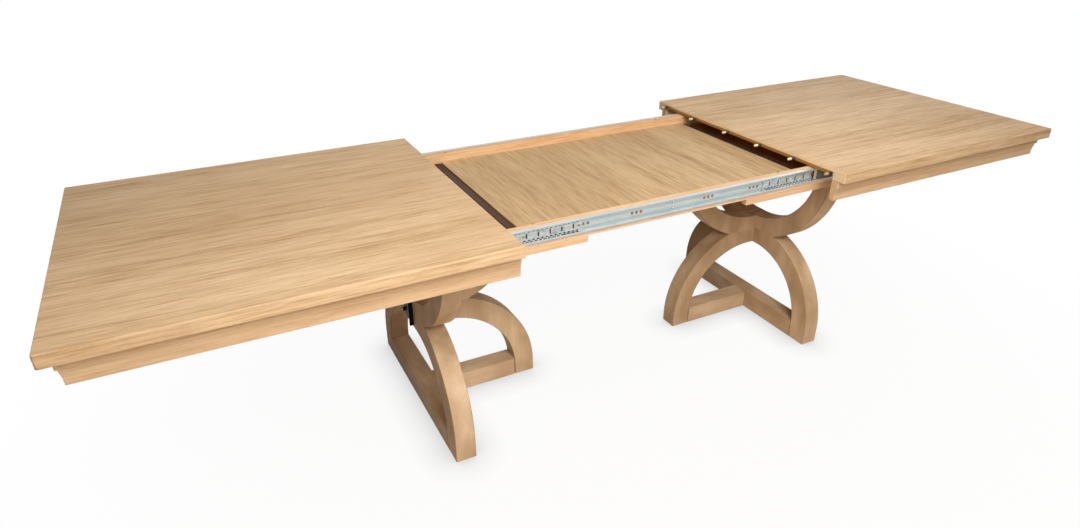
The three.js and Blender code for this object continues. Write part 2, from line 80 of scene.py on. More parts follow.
SIDES = ("left", "right")
FACES = ("front", "back")
X_AXIS, Y_AXIS, Z_AXIS = range(3)
GRAIN_AXES = ("x", "y", "z")
TONES = ("pale", "mean", "deep")

# The way from the table's middle to each side along X, and to each face along Y
AWAY = {"left": -1, "right": 1, "front": -1, "back": 1}

# How far a merged copy welds, what it takes as flat, and which edges are arrises
WELD = 0.00002
FLAT_ANGLE = math.radians(0.4)
ARRIS_ANGLE = math.radians(35)
SMOOTH_ANGLE = math.radians(50)
ON_PLANE = 0.0004

# How much darker than its deep tone a wood is in its veins, its pores and its painted shade
VEIN_SHARE = 0.8
PORE_SHARE = 0.55
PAINTED_SHADE_SHARE = 0.08

# How far the camera sees, as a share of the floor's reach
SIGHT_SHARE = 4


def colour_property(label, about, value):
    """A colour as the shader takes it, in linear light."""
    return FloatVectorProperty(
        name=label, description=about, default=value, size=3, min=0.0, max=1.0, subtype="COLOR")


def length_property(label, about, value):
    """A length in metres."""
    return FloatProperty(name=label, description=about, default=value, min=0.0, unit="LENGTH")


def place_property(label, about, value):
    """A place in metres."""
    return FloatVectorProperty(name=label, description=about, default=value, size=3, unit="LENGTH")


def linear(red, green, blue):
    """The linear colour that shows as these 8-bit values."""
    return tuple(((part / 255 + 0.055) / 1.055) ** 2.4 for part in (red, green, blue))


class TableColours(bpy.types.PropertyGroup):
    """The colours of the table's woods and steels."""

    oak_pale: colour_property("Oak, pale", "Pale streaks of the tops", linear(236, 204, 162))
    oak_mean: colour_property("Oak, mean", "Ground colour of the tops", linear(217, 182, 140))
    oak_deep: colour_property("Oak, deep", "Dark streaks of the tops", linear(176, 136, 94))
    apron_pale: colour_property("Apron, pale", "Pale streaks", linear(240, 208, 168))
    apron_mean: colour_property("Apron, mean", "Ground colour", linear(225, 189, 147))
    apron_deep: colour_property("Apron, deep", "Dark streaks", linear(194, 152, 110))
    # Painted light: the edge band's tones are lighter than the oak's, to brighten inner edges that
    # the lamps leave dim
    band_pale: colour_property("Edge band, pale", "Pale streaks", linear(252, 230, 194))
    band_mean: colour_property("Edge band, mean", "Ground colour", linear(246, 216, 174))
    band_deep: colour_property("Edge band, deep", "Dark streaks", linear(222, 184, 138))
    stained_pale: colour_property("Pedestal, pale", "Pale patches", linear(240, 213, 180))
    stained_mean: colour_property("Pedestal, mean", "Ground colour", linear(222, 191, 155))
    stained_deep: colour_property("Pedestal, deep", "Dark patches", linear(170, 137, 100))
    leaf_pale: colour_property("Leaf, pale", "Pale streaks of the leaf", linear(216, 184, 138))
    leaf_mean: colour_property("Leaf, mean", "Ground colour of the leaf", linear(199, 166, 122))
    leaf_deep: colour_property("Leaf, deep", "Dark streaks of the leaf", linear(160, 123, 82))
    pine_pale: colour_property("Rail, pale", "Pale streaks of the rails", linear(232, 200, 158))
    pine_mean: colour_property("Rail, mean", "Ground colour of the rails", linear(224, 183, 138))
    pine_deep: colour_property("Rail, deep", "Dark streaks of the rails", linear(206, 152, 104))
    # Painted shade: the cross rails' board is coloured darker and warmer than the rails, for the
    # shade under the tops
    shade_pale: colour_property("Dark board, pale", "Pale streaks", linear(216, 160, 88))
    shade_mean: colour_property("Dark board, mean", "Ground colour", linear(198, 144, 76))
    shade_deep: colour_property("Dark board, deep", "Dark streaks", linear(166, 114, 54))
    pin_pale: colour_property("Pin, pale", "Pale streaks of the pins", linear(250, 230, 200))
    pin_mean: colour_property("Pin, mean", "Ground colour of the pins", linear(238, 212, 174))
    pin_deep: colour_property("Pin, deep", "Dark streaks of the pins", linear(214, 180, 138))
    # Painted shade: the two end pins are darker, for the dark corners they sit in
    dim_pale: colour_property("End pin, pale", "Pale streaks", linear(206, 178, 140))
    dim_mean: colour_property("End pin, mean", "Ground colour", linear(188, 158, 120))
    dim_deep: colour_property("End pin, deep", "Dark streaks", linear(156, 124, 86))
    # Worn varnish and painted highlight: the tint also stands for light caught on a rounded arris
    arris_wear_and_highlight: colour_property("Arris", "Varnish worn thin on an arris", linear(216, 162, 98))
    soil: colour_property("Soil", "Antique glaze on a pedestal's arris", linear(112, 80, 50))
    # Raw pine and painted light: the outer face is lighter than the rail, to lift the shade that
    # the channel casts on it
    raw_pale: colour_property("Raw pine, pale", "Pale streaks", linear(250, 222, 194))
    raw_mean: colour_property("Raw pine, mean", "Ground colour", linear(242, 206, 174))
    raw_deep: colour_property("Raw pine, deep", "Dark streaks", linear(224, 176, 140))
    tab: colour_property("Tab", "Latch at a slide member's end", linear(196, 174, 138))
    tab_dull: colour_property("Tab, dull", "Duller patches of the latch", linear(164, 140, 106))
    # Painted shade: the members' plating is darker than the channels' zinc, for the shade under the
    # tops
    member: colour_property("Member", "Plating of the slide members", linear(128, 132, 124))
    member_dull: colour_property("Member, dull", "Oily patches", linear(84, 86, 78))
    zinc: colour_property("Zinc", "Zinc-plated slides", linear(200, 208, 206))
    zinc_dull: colour_property("Zinc, dull", "Duller patches of the plating", linear(180, 190, 191))
    polish: colour_property("Polished steel", "Balls, screws and bolts", linear(244, 248, 248))
    cage: colour_property("Cage", "Plating of the ball cages", linear(204, 210, 208))
    cage_dull: colour_property("Cage, dull", "Oily patches of the cages", linear(146, 152, 148))
    bead: colour_property("Bead", "Shade of a channel's rolled beads", linear(150, 146, 136))
    bracket: colour_property("Bracket", "Black paint of the brackets", linear(20, 18, 18))
    bracket_rub: colour_property("Bracket, rubbed", "Paint rubbed thin", linear(40, 37, 37))
    black: colour_property("Black steel", "Painted brackets and stops", linear(42, 40, 58))
    black_rub: colour_property("Black steel, rubbed", "Paint rubbed thin", linear(74, 70, 92))
    # Painted shade: the left stop is dark brown, like the shaded wood at the leaf's left end
    brown: colour_property("Brown steel", "Painted stop at the left", linear(70, 42, 29))
    brown_rub: colour_property("Brown steel, rubbed", "Paint rubbed thin", linear(92, 60, 43))
    # Painted shade: the dark tones of wood seen through holes, shaded inside them
    bore: colour_property("Bore", "Wood behind a channel's holes", linear(146, 104, 60))
    bore_deep: colour_property("Bore, deep", "Its darker parts", linear(112, 76, 42))
    # Painted shade: the dark tones that stand for shade in the slides' hollows and windows
    grease: colour_property("Grease", "Deep grease in a cage", linear(42, 32, 26))
    dark_shade_mottle: colour_property("Grease, fresh", "Where it still shines", linear(78, 60, 44))


class TableMake(bpy.types.PropertyGroup):
    """The small sizes that finish the pieces."""

    top_arris: length_property("Top arris", "Rounding of the tops' arrises", 0.0022)
    wood_arris: length_property("Wood arris", "Rounding of other wooden arrises", 0.0012)
    pedestal_arris: length_property("Pedestal arris", "Rounding of the pedestals", 0.0025)
    steel_arris: length_property("Steel arris", "Rounding of folded steel", 0.0003)
    arris_steps: IntProperty(
        name="Arris steps", description="Faces round an arris", default=2, min=1)
    wood_relief: length_property("Wood relief", "Depth of the grain", 0.0006)
    plating_relief: length_property("Plating relief", "Depth of the drawing lines", 0.0003)
    dark_shade_relief: length_property("Grease relief", "Height of the grease's lumps", 0.0005)
    paint_relief: length_property("Paint relief", "Height of the paint's ripples", 0.0004)
    ball_diameter: length_property("Ball", "Diameter of a slide's balls", 0.0054)
    ball_pitch: length_property("Ball pitch", "Distance from ball to ball", 0.014)
    ball_margin: length_property("Ball margin", "From a cage's end to its first ball", 0.012)
    ball_group: IntProperty(name="Ball group", description="Balls at a cage's end", default=4)
    ball_sides: IntProperty(name="Ball sides", description="Faces round a ball", default=8, min=3)
    ball_bands: IntProperty(
        name="Ball bands", description="Faces from pole to pole", default=5, min=3)
    race_rise: length_property("Race", "From a slide's middle to its balls", 0.018)
    race_depth: length_property("Race depth", "From a rail to the balls", 0.00635)
    cage_wall: length_property("Cage wall", "Thickness of a cage's steel", 0.001)
    finger_width: length_property("Finger", "Width of a cage's fingers", 0.0045)
    finger_reach: length_property("Finger reach", "How far a finger hangs", 0.0015)
    finger_thickness: length_property("Finger thickness", "Thickness of a finger", 0.0006)
    window_start: length_property("First window", "From a cage's inner end", 0.029)
    window_end: length_property("Last window", "Clear of a cage's outer end", 0.0265)
    window_pitch: length_property("Window pitch", "From window to window", 0.037)
    window_width: length_property("Window width", "Width of a cage's windows", 0.0048)
    window_height: length_property("Window height", "Height of a cage's windows", 0.0146)
    film_thickness: length_property("Grease", "Thickness of the grease", 0.0003)
    pocket_rise: length_property("Pocket", "From a slide's middle to its pockets", 0.0135)
    pocket_width: length_property("Pocket width", "Width of a ball pocket", 0.0066)
    pocket_height: length_property("Pocket height", "Height of a ball pocket", 0.005)
    hole_diameter: length_property("Hole", "Width of a channel's holes", 0.0062)
    hole_shade_diameter: length_property("Stain", "Width of the stain round a hole", 0.0098)
    hole_pitch: length_property("Hole pitch", "From hole to hole in a group", 0.0155)
    hole_count: IntProperty(name="Holes", description="Holes in a group", default=3)
    hole_starts: FloatVectorProperty(
        name="Hole groups", description="From the middle to each group's first hole",
        default=(0.118, 0.3, 0.476), size=3, unit="LENGTH")
    peep_places: FloatVectorProperty(
        name="Peep holes", description="From a left cage's inner end to each hole through it",
        default=(0.011, 0.187), size=2, unit="LENGTH")
    screw_spacing: length_property("Screw spacing", "Between a channel's two screws", 0.0188)
    screw_ring: length_property("Screw ring", "Width of the oil round a screw", 0.0098)
    screw_cap: length_property("Screw cap", "Width of a screw's bright middle", 0.0076)
    screw_rise: length_property("Screw rise", "From the rail to a screw's top", 0.0027)
    channel_face: length_property("Channel face", "From a rail to a channel's web face", 0.0021)
    channel_wall: length_property("Channel wall", "Thickness of a channel's steel", 0.0015)
    bead_half: length_property("Bead", "Half the width of a bead's shade", 0.0016)
    bead_rises: FloatVectorProperty(
        name="Beads", description="From a channel's middle up to each bead",
        default=(-0.012, 0.005, 0.012, 0.02), size=4, unit="LENGTH")
    disc_sides: IntProperty(name="Disc sides", description="Faces round a disc", default=8, min=3)
    band_height: length_property("Band height", "Bright upper part of an inner edge", 0.0088)
    border: length_property("Border", "Width of a top's deeper edge", 0.051)
    pin_shade: length_property("Pin shade", "Shaded length at a pin's root", 0.0145)
    tab_length: length_property("Tab length", "Length of a member's latch", 0.009)
    hollow_depth: length_property("Hollow", "From a rail to a member's web", 0.0064)
    hollow_half: length_property("Hollow half", "Half the height of a member's hollow", 0.0132)
    plug_length: length_property("Plug", "Length of the dirt in a member's end", 0.0012)
    member_face: length_property("Member face", "From a rail to a member's face", 0.0117)
    spot_places: FloatVectorProperty(
        name="Spots", description="Where the rails have knots", default=(-0.466, 0.434), size=2,
        unit="LENGTH")
    spot_length: length_property("Knot", "Length of a rail's knots", 0.008)
    spot_width: length_property("Knot width", "Width of a rail's knots", 0.004)
    spot_rise: length_property("Knot rise", "How far a spot stands proud", 0.00015)
    bolt_bare: length_property("Bolt", "Width of the bare middle of a bolt", 0.006)
    bolt_sides: IntProperty(name="Bolt sides", description="Faces round a bolt", default=12, min=3)
    bracket_plate: length_property("Bracket plate", "Thickness of a bracket's plate", 0.004)
    pin_sides: IntProperty(
        name="Pin sides", description="Faces round a dowel pin", default=28, min=8)


class TableStudio(bpy.types.PropertyGroup):
    """The camera and the lamps."""

    camera_place: place_property(
        "Camera", "Where the camera stands", (-1.28126, -2.00193, 1.56680))
    camera_dip: FloatProperty(
        name="Dip", description="How far the camera looks down", default=0.4773, unit="ROTATION")
    camera_turn: FloatProperty(
        name="Turn", description="Turn about the upright", default=-0.4686, unit="ROTATION")
    camera_roll: FloatProperty(
        name="Roll", description="Roll about the line of sight", default=-0.0033, unit="ROTATION")
    focal_share: FloatProperty(
        name="Focal length", description="As a share of the picture's width", default=0.66967)
    sensor_width: FloatProperty(name="Sensor", description="Width in mm", default=36.0)
    floor_reach: length_property("Floor", "Half the floor's width", 14.0)
    floor_drop: length_property("Floor drop", "Clearance below the feet", 0.0003)
    bounce: colour_property("Bounce", "Colour that the floor throws back", (0.64, 0.53, 0.41))
    shadow_share: FloatProperty(
        name="Shadow", description="How much of the shadow shows", default=0.05, min=0.0, max=1.0)
    contact_reach: length_property("Contact", "Reach of the shade round the feet", 0.12)
    contact_shade: FloatProperty(
        name="Contact shade", description="Light left where a foot stands", default=0.62,
        min=0.0, max=1.0)
    contact_dark_share: FloatProperty(
        name="Contact dark", description="Open share of the sky where the shade is deepest",
        default=0.3, min=0.0, max=1.0)
    shadow_near: length_property("Shadow, near", "Shadow shows in full up to here", 0.8)
    shadow_far: length_property("Shadow, far", "Shadow has faded away here", 2.2)
    sky_warmth: colour_property("Sky colour", "Light from all round", (1.0, 0.86, 0.7))
    sky_strength: FloatProperty(name="Sky", description="Light from all round", default=0.03)
    key_power: FloatProperty(name="Key", description="Power of the key lamp in W", default=82.0)
    key_size: length_property("Key size", "Width of the key lamp", 1.8)
    key_place: place_property("Key place", "Where the key lamp hangs", (-0.7, -2.6, 2.7))
    top_power: FloatProperty(name="Top", description="Power of the top lamp in W", default=48.0)
    top_size: length_property("Top size", "Width of the top lamp", 2.6)
    top_place: place_property("Top place", "Where the top lamp hangs", (0.0, -1.2, 2.9))
    end_power: FloatProperty(name="End", description="Power of the end lamp in W", default=5.0)
    end_size: length_property("End size", "Width of the end lamp", 1.2)
    end_place: place_property("End place", "Where the end lamp hangs", (2.3, 1.1, 1.9))
    front_power: FloatProperty(
        name="Front", description="Power of the front lamp in W", default=9.0)
    front_size: length_property("Front size", "Width of the front lamp", 1.0)
    front_place: place_property("Front place", "Where the front lamp stands", (-0.9, -2.6, 0.8))
    lamp_target: place_property("Target", "Where the lamps point", (0.0, 0.0, 0.5))


def opaque(colour):
    """A colour with full cover, as a socket takes it, or another node's output as it is."""
    return colour if isinstance(colour, bpy.types.NodeSocket) else (*colour[:3], 1.0)


def darker(colour, share):
    """A colour brought down to a share of its light."""
    return tuple(part * share for part in colour)


class NodeKit:
    """A node tree in the making, with short calls for the nodes that the finishes share."""

    def __init__(self, tree):
        self.nodes = tree.nodes
        self.links = tree.links

    def add(self, kind, sockets=None, **settings):
        """A node with its settings, and a value or a link for each socket named."""
        node = self.nodes.new(kind)
        for name, value in settings.items():
            setattr(node, name, value)
        for name, value in (sockets or {}).items():
            self.feed(node.inputs[name], value)
        return node

    def feed(self, socket, value):
        """Links an output to a socket, or sets the socket's own value."""
        if isinstance(value, bpy.types.NodeSocket):
            self.links.new(value, socket)
        else:
            socket.default_value = value

    def coordinates(self):
        """Object coordinates, which are the table's own."""
        return self.add("ShaderNodeTexCoord").outputs["Object"]

    def along(self, letter):
        """How far along one axis a point lies."""
        return self.add("ShaderNodeSeparateXYZ", {0: self.coordinates()}).outputs[letter]

    def attribute(self, name):
        """A number that the mesh carries at its points."""
        return self.add("ShaderNodeAttribute", attribute_name=name).outputs["Fac"]

    def calc(self, how, *numbers):
        """What a sum makes of one or two numbers."""
        return self.add("ShaderNodeMath", dict(enumerate(numbers)), operation=how).outputs[0]

    def place(self, stretch, shift):
        """Object coordinates, moved from board to board and stretched along the grain."""
        moved = self.add("ShaderNodeVectorMath", {0: shift}, operation="SCALE")
        self.feed(moved.inputs["Scale"], self.attribute("board"))
        summed = self.add("ShaderNodeVectorMath", {0: self.coordinates(), 1: moved.outputs[0]})
        return self.add(
            "ShaderNodeMapping", {"Vector": summed.outputs[0], "Scale": stretch}).outputs[0]

    def noise(self, vector, scale, detail=2.0, roughness=0.5, distortion=0.0):
        """Noise from 0 to 1 at a place."""
        return self.add("ShaderNodeTexNoise", {
            "Vector": vector, "Scale": scale, "Detail": detail, "Roughness": roughness,
            "Distortion": distortion}).outputs[0]

    def blend(self, share, first, second):
        """A number between two numbers."""
        return self.add("ShaderNodeMix", {0: share, 2: first, 3: second}).outputs[0]

    def tint(self, share, first, second):
        """A colour between two colours."""
        return self.add("ShaderNodeMix", {0: share, 6: opaque(first), 7: opaque(second)},
                        data_type="RGBA").outputs[2]

    def span(self, value, low, high, to_low=0.0, to_high=1.0):
        """Maps the span from low to high onto another, and holds it there."""
        return self.add("ShaderNodeMapRange", {
            0: value, 1: low, 2: high, 3: to_low, 4: to_high}).outputs[0]

    def ramp(self, value, stops):
        """Colours along a value, as (place, colour) pairs."""
        node = self.add("ShaderNodeValToRGB", {0: value})
        elements = node.color_ramp.elements
        while len(elements) < len(stops):
            elements.new(0.5)
        for element, (place, colour) in zip(elements, stops):
            element.position = place
            element.color = (*colour, 1.0)
        return node.outputs[0]


def seen_directly(kit):
    """1 where the camera, a mirror or glass looks, and 0 where light only bounces."""
    path = kit.add("ShaderNodeLightPath").outputs
    looked = kit.calc("MAXIMUM", path["Is Camera Ray"], path["Is Glossy Ray"])
    return kit.calc("MAXIMUM", looked, path["Is Transmission Ray"])


class Finish(NodeKit):
    """A material in the making."""

    def __init__(self, name):
        self.material = bpy.data.materials.new(name)
        self.material.use_nodes = True
        super().__init__(self.material.node_tree)
        self.shader = self.nodes["Principled BSDF"]

    def bump(self, height, strength, distance):
        """Raises the surface by a height in shares of a distance."""
        node = self.add("ShaderNodeBump", {
            "Height": height, "Strength": strength, "Distance": distance})
        self.feed(self.shader.inputs["Normal"], node.outputs[0])

    def done(self, colour, roughness, metallic=0.0, specular=0.4):
        """The material, once its surface has its colour and its shine."""
        self.feed(self.shader.inputs["Base Color"], colour)
        self.feed(self.shader.inputs["Roughness"], roughness)
        self.shader.inputs["Metallic"].default_value = metallic
        self.shader.inputs["Specular IOR Level"].default_value = specular
        return self.material


def wood(name, axis, pale, mean, deep, figure=1.0, veins=0.5, cloud=0.35, cloud_scale=3.1,
         pores=0.35, arris=0.5, arris_tone="arris_wear_and_highlight", roughness=(0.66, 0.52), specular=0.3,
         stain=None):
    """Wood whose grain runs along one axis, in bands, streaks, fine lines, veins and pores.

    stain is painted shade: a dark tone, the level under which it shows, and how far it reaches
    either side.
    """
    finish = Finish(name)
    scene = bpy.context.scene
    shift = (0.83, 1.37, 0.59)

    def grain_noise(share, scale, *shape):
        """Noise drawn out along the grain."""
        stretch = tuple(share if index == axis else 1.0 for index in range(3))
        return finish.noise(finish.place(stretch, shift), scale, *shape)

    bands = grain_noise(0.06, 12.0, 2.0, 0.5, 0.4)
    streaks = grain_noise(0.07, 46.0, 4.0, 0.62, 0.3)
    lines = grain_noise(0.05, 165.0, 3.0, 0.65)
    fibres = grain_noise(0.1, 560.0, 2.0, 0.6)
    vein_noise = grain_noise(0.04, 84.0, 1.0, 0.5, 0.2)
    patches = grain_noise(0.5, cloud_scale, 2.0)

    grain = finish.blend(0.5, finish.blend(0.6, bands, streaks), lines)
    middle = 0.5
    spread = 0.11 / figure
    colour = finish.ramp(grain, [
        (middle - spread, deep), (middle, mean), (middle + spread, pale)])
    shade = finish.span(patches, 0.3, 0.7, 0.0, cloud)
    colour = finish.tint(shade, colour, deep)
    drawn = finish.span(vein_noise, 0.6, 0.72, 0.0, veins)
    colour = finish.tint(drawn, colour, darker(deep, VEIN_SHARE))
    open_pores = finish.span(fibres, 0.62, 0.74, 0.0, pores)
    colour = finish.tint(open_pores, colour, darker(deep, PORE_SHARE))
    # Worn varnish and painted highlight on the arrises
    worn = finish.calc("MULTIPLY", finish.attribute("arris"), arris)
    colour = finish.tint(worn, colour, getattr(scene.table_colours, arris_tone))
    # Painted shade where the mesh carries it, as at a dowel pin's root
    colour = finish.tint(finish.attribute("dirt"), colour, darker(deep, PAINTED_SHADE_SHARE))

    # Painted shade on the lower part of a top's inner edge
    if stain:
        tone, level, reach = stain
        below = finish.calc("LESS_THAN", finish.along("Z"), level)
        within = finish.calc("LESS_THAN", finish.calc("ABSOLUTE", finish.along("Y")), reach)
        colour = finish.tint(finish.calc("MULTIPLY", below, within), colour, tone)

    relief = finish.blend(0.5, lines, fibres)
    finish.bump(relief, 0.22, scene.table_make.wood_relief)
    return finish.done(colour, finish.span(grain, 0.35, 0.65, *roughness), specular=specular)


def zinc(name, bright, dull_tint, bead_levels=(), metallic=0.55, patch_scale=21.0):
    """Zinc-plated steel strip, faintly drawn along its length, with painted shade in lines where
    its beads and lips shade it.
    """
    scene = bpy.context.scene
    make = scene.table_make
    finish = Finish(name)
    shift = (0.4, 0.7, 0.9)
    drawn = finish.noise(finish.place((0.02, 1.0, 1.0), shift), 420.0, 3.0, 0.6)
    dull = finish.noise(finish.place((0.6, 1.0, 1.0), shift), patch_scale, 3.0, 0.6, 0.5)
    share = finish.span(finish.blend(0.4, dull, drawn), 0.38, 0.66)
    colour = finish.tint(share, bright, dull_tint)
    # Painted shade in a line at each bead
    for level in bead_levels:
        away = finish.calc("ABSOLUTE", finish.calc("SUBTRACT", finish.along("Z"), level))
        line = finish.span(away, 0.0, make.bead_half, 0.65, 0.0)
        colour = finish.tint(line, colour, scene.table_colours.bead)
    finish.bump(drawn, 0.12, make.plating_relief)
    roughness = finish.span(dull, 0.3, 0.7, 0.36, 0.5)
    return finish.done(colour, roughness, metallic=metallic, specular=0.5)


def grease(name):
    """Painted shade, dark and uneven, for the slides' hollows."""
    scene = bpy.context.scene
    colours = scene.table_colours
    finish = Finish(name)
    lumps = finish.noise(finish.place((1.0, 1.0, 1.0), (0.6, 0.2, 0.4)), 260.0, 3.0, 0.6)
    share = finish.span(lumps, 0.45, 0.7)
    colour = finish.tint(share, colours.grease, colours.dark_shade_mottle)
    finish.bump(lumps, 0.3, scene.table_make.dark_shade_relief)
    return finish.done(colour, finish.span(lumps, 0.3, 0.7, 0.6, 0.4), specular=0.3)


def painted_steel(name, paint, rub, specular=0.5):
    """Paint on steel, rubbed a little on its arrises."""
    finish = Finish(name)
    shift = (0.3, 0.5, 0.8)
    orange_peel = finish.noise(finish.place((1.0, 1.0, 1.0), shift), 480.0, 2.0)
    rubs = finish.noise(finish.place((1.0, 1.0, 1.0), shift), 60.0, 4.0, 0.6)
    rubbed = finish.span(rubs, 0.55, 0.7)
    rub_share = 0.35
    worn = finish.blend(rubbed, finish.attribute("arris"), 1.0)
    colour = finish.tint(finish.calc("MULTIPLY", worn, rub_share), paint, rub)
    finish.bump(orange_peel, 0.15, bpy.context.scene.table_make.paint_relief)
    roughness = finish.span(rubs, 0.3, 0.7, 0.38, 0.52)
    return finish.done(colour, roughness, specular=specular)


FINISHES = {}


def add_wood(name, tones, **settings):
    """Makes one wood, once for each way that its grain can run."""
    colours = bpy.context.scene.table_colours
    shades = [tuple(getattr(colours, f"{tones}_{tone}")) for tone in TONES]
    FINISHES[name] = {
        axis: wood(f"{name}_{letter}", axis, *shades, **settings)
        for axis, letter in enumerate(GRAIN_AXES)
    }


def make_woods():
    """The table's woods, from the tops to the pins."""
    scene = bpy.context.scene
    make = scene.table_make
    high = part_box("left_top")[1]
    # Painted shade below the inner edges' bright band, between the deeper borders
    stain = (scene.table_colours.shade_deep, high.z - make.band_height, high.y - make.border)
    add_wood("oak_top", "oak", figure=0.72, veins=0.35, arris=0.4)
    add_wood("oak_apron", "apron", figure=0.6, veins=0.3, arris=0.3)
    add_wood("oak_band", "band", figure=0.5, veins=0.2, arris=0.4, stain=stain)
    add_wood("pedestal_oak", "stained", figure=0.1, veins=0.04, cloud=0.8, cloud_scale=11.0,
             pores=0.3, arris=0.7, arris_tone="soil", roughness=(0.6, 0.5), specular=0.08)
    add_wood("leaf_oak", "leaf", figure=0.7, veins=0.3, arris=0.25)
    add_wood("rail_wood", "pine", figure=0.8, veins=0.2, cloud=0.2, pores=0.1, arris=0.1)
    add_wood("raw_pine", "raw", figure=0.6, veins=0.15, cloud=0.2, pores=0.1, arris=0.0)
    # Painted shade on the board under the tops
    add_wood("dark_board", "shade", figure=0.8, cloud=0.3, pores=0.2, arris=0.0)
    add_wood("pin_wood", "pin", figure=0.8, cloud=0.1, pores=0.2, arris=0.0)
    # Painted shade on the two end pins
    add_wood("pin_dark", "dim", figure=0.8, cloud=0.3, pores=0.3, arris=0.0)


def add_finish(maker, name, *tones, **settings):
    """Makes a finish of another kind than wood."""
    FINISHES[name] = maker(name, *tones, **settings)


def make_steels():
    """The slides' plating, the paints, and the grease."""
    scene = bpy.context.scene
    colours = scene.table_colours
    plating = (colours.zinc, colours.zinc_dull)
    middle = level_of("front_slide_channel")
    # Levels of the painted shade lines on the channels
    beads = [middle + rise for rise in scene.table_make.bead_rises]
    add_finish(zinc, "zinc_steel", *plating)
    add_finish(zinc, "zinc_channel", *plating, bead_levels=beads)
    add_finish(zinc, "zinc_cage", colours.cage, colours.cage_dull, metallic=0.45,
               patch_scale=120.0)
    # Painted shade on the slide members
    add_finish(zinc, "zinc_member", colours.member, colours.member_dull, metallic=0.45,
               patch_scale=60.0)
    add_finish(zinc, "ball_steel", colours.polish, colours.zinc, metallic=0.8)
    add_finish(painted_steel, "bracket_black", colours.bracket, colours.bracket_rub,
               specular=0.05)
    add_finish(painted_steel, "black_steel", colours.black, colours.black_rub)
    # Painted shade on the left stop
    add_finish(painted_steel, "brown_steel", colours.brown, colours.brown_rub, specular=0.12)
    add_finish(painted_steel, "latch", colours.tab, colours.tab_dull, specular=0.2)
    add_finish(painted_steel, "bore_wood", colours.bore, colours.bore_deep, specular=0.1)
    # Painted shade, dark and uneven
    add_finish(grease, "dried_grease")


def body_of(node):
    """The body that a CAD node rides on."""
    return frame["nodes"][node]["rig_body"]


def level_of(node):
    """The level of a piece's middle."""
    low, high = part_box(node)
    return (low.z + high.z) / 2


def span_out(node, axis, way):
    """Where a piece begins and ends on an axis, from the table's middle outwards."""
    low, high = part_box(node)
    return (high[axis], low[axis]) if way < 0 else (low[axis], high[axis])


def merged_copy(node):
    """A CAD node's mesh with its loose triangles joined and its flat faces whole."""
    bm = bmesh.new()
    bm.from_mesh(frame["nodes"][node].data)
    bmesh.ops.remove_doubles(bm, verts=bm.verts[:], dist=WELD)
    bmesh.ops.dissolve_limit(
        bm, angle_limit=FLAT_ANGLE, verts=bm.verts[:], edges=bm.edges[:],
        use_dissolve_boundaries=False)
    return bm


def on_plane(edge, axis, level):
    """Whether both ends of an edge lie in the plane at that level on the axis."""
    return all(abs(vert.co[axis] - level) < ON_PLANE for vert in edge.verts)


def round_arrises(bm, radius, seams=(), spared=None):
    """Rounds the sharp outer edges, apart from those in a seam's plane or spared."""
    chosen = []
    for edge in bm.edges:
        if len(edge.link_faces) != 2 or not edge.is_convex:
            continue
        if edge.calc_face_angle() < ARRIS_ANGLE:
            continue
        if any(on_plane(edge, axis, level) for axis, level in seams):
            continue
        if spared is not None and spared(edge):
            continue
        chosen.append(edge)
    layer = bm.verts.layers.float.new("arris")
    if not chosen:
        return
    steps = bpy.context.scene.table_make.arris_steps
    made = bmesh.ops.bevel(
        bm, geom=chosen, offset=radius, offset_type="OFFSET", affect="EDGES", segments=steps,
        profile=0.5, material=-1, clamp_overlap=True)
    rounded = set(made["faces"])
    for vert in made["verts"]:
        if all(face in rounded for face in vert.link_faces):
            vert[layer] = 1.0


def finish_piece(bm, name, body, materials, board=0, stands_for=()):
    """Makes a bmesh into a finished piece that rides on its body."""
    layer = bm.verts.layers.float.new("board")
    for vert in bm.verts:
        vert[layer] = board
    mesh = bpy.data.meshes.new(name)
    bm.to_mesh(mesh)
    bm.free()
    for material in materials:
        mesh.materials.append(material)
    for polygon in mesh.polygons:
        polygon.use_smooth = True
    mesh.set_sharp_from_angle(angle=SMOOTH_ANGLE)
    piece = bpy.data.objects.new(name, mesh)
    bpy.context.scene.collection.objects.link(piece)
    weighted = piece.modifiers.new("weighted normals", "WEIGHTED_NORMAL")
    weighted.keep_sharp = True
    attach(piece, body)
    if stands_for:
        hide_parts(*stands_for)
    return piece


# A new number for each board, so that no two share one figure
BOARDS = itertools.count(1)


def finish_of(name, axis=None):
    """A finish by its name, with the way that its grain runs if it is a wood."""
    return FINISHES[name] if axis is None else FINISHES[name][axis]


def dress(node, slot, radius, axis=None, seams=(), spared=None, finish=None, others=()):
    """Stands a rounded copy with its finish in place of a CAD node.

    others are further finishes, each with the test that chooses its faces.
    """
    bm = merged_copy(node)
    round_arrises(bm, radius, seams, spared)
    materials = [finish_of(finish or slot, axis)]
    for material, chooses in others:
        for face in bm.faces:
            if chooses(face):
                face.material_index = len(materials)
        materials.append(material)
    return finish_piece(
        bm, f"{node}_dressed", body_of(node), materials, next(BOARDS), [node])


def add_detail(bm, node, name, finish):
    """Finishes a small piece that belongs to a CAD node."""
    finish_piece(bm, f"{node}_{name}", body_of(node), [finish_of(finish)])


def hole_places(make, depth, level):
    """The places of a channel's holes, in groups on both sides of its middle."""
    for start in make.hole_starts:
        for index in range(make.hole_count):
            for sign in (-1, 1):
                yield sign * (start + index * make.hole_pitch), depth, level


def add_box(bm, low, high):
    """Adds a box between two corners."""
    made = bmesh.ops.create_cube(bm, size=1.0)
    low, high = Vector(low), Vector(high)
    for vert in made["verts"]:
        vert.co = [low[i] + (vert.co[i] + 0.5) * (high[i] - low[i]) for i in range(3)]


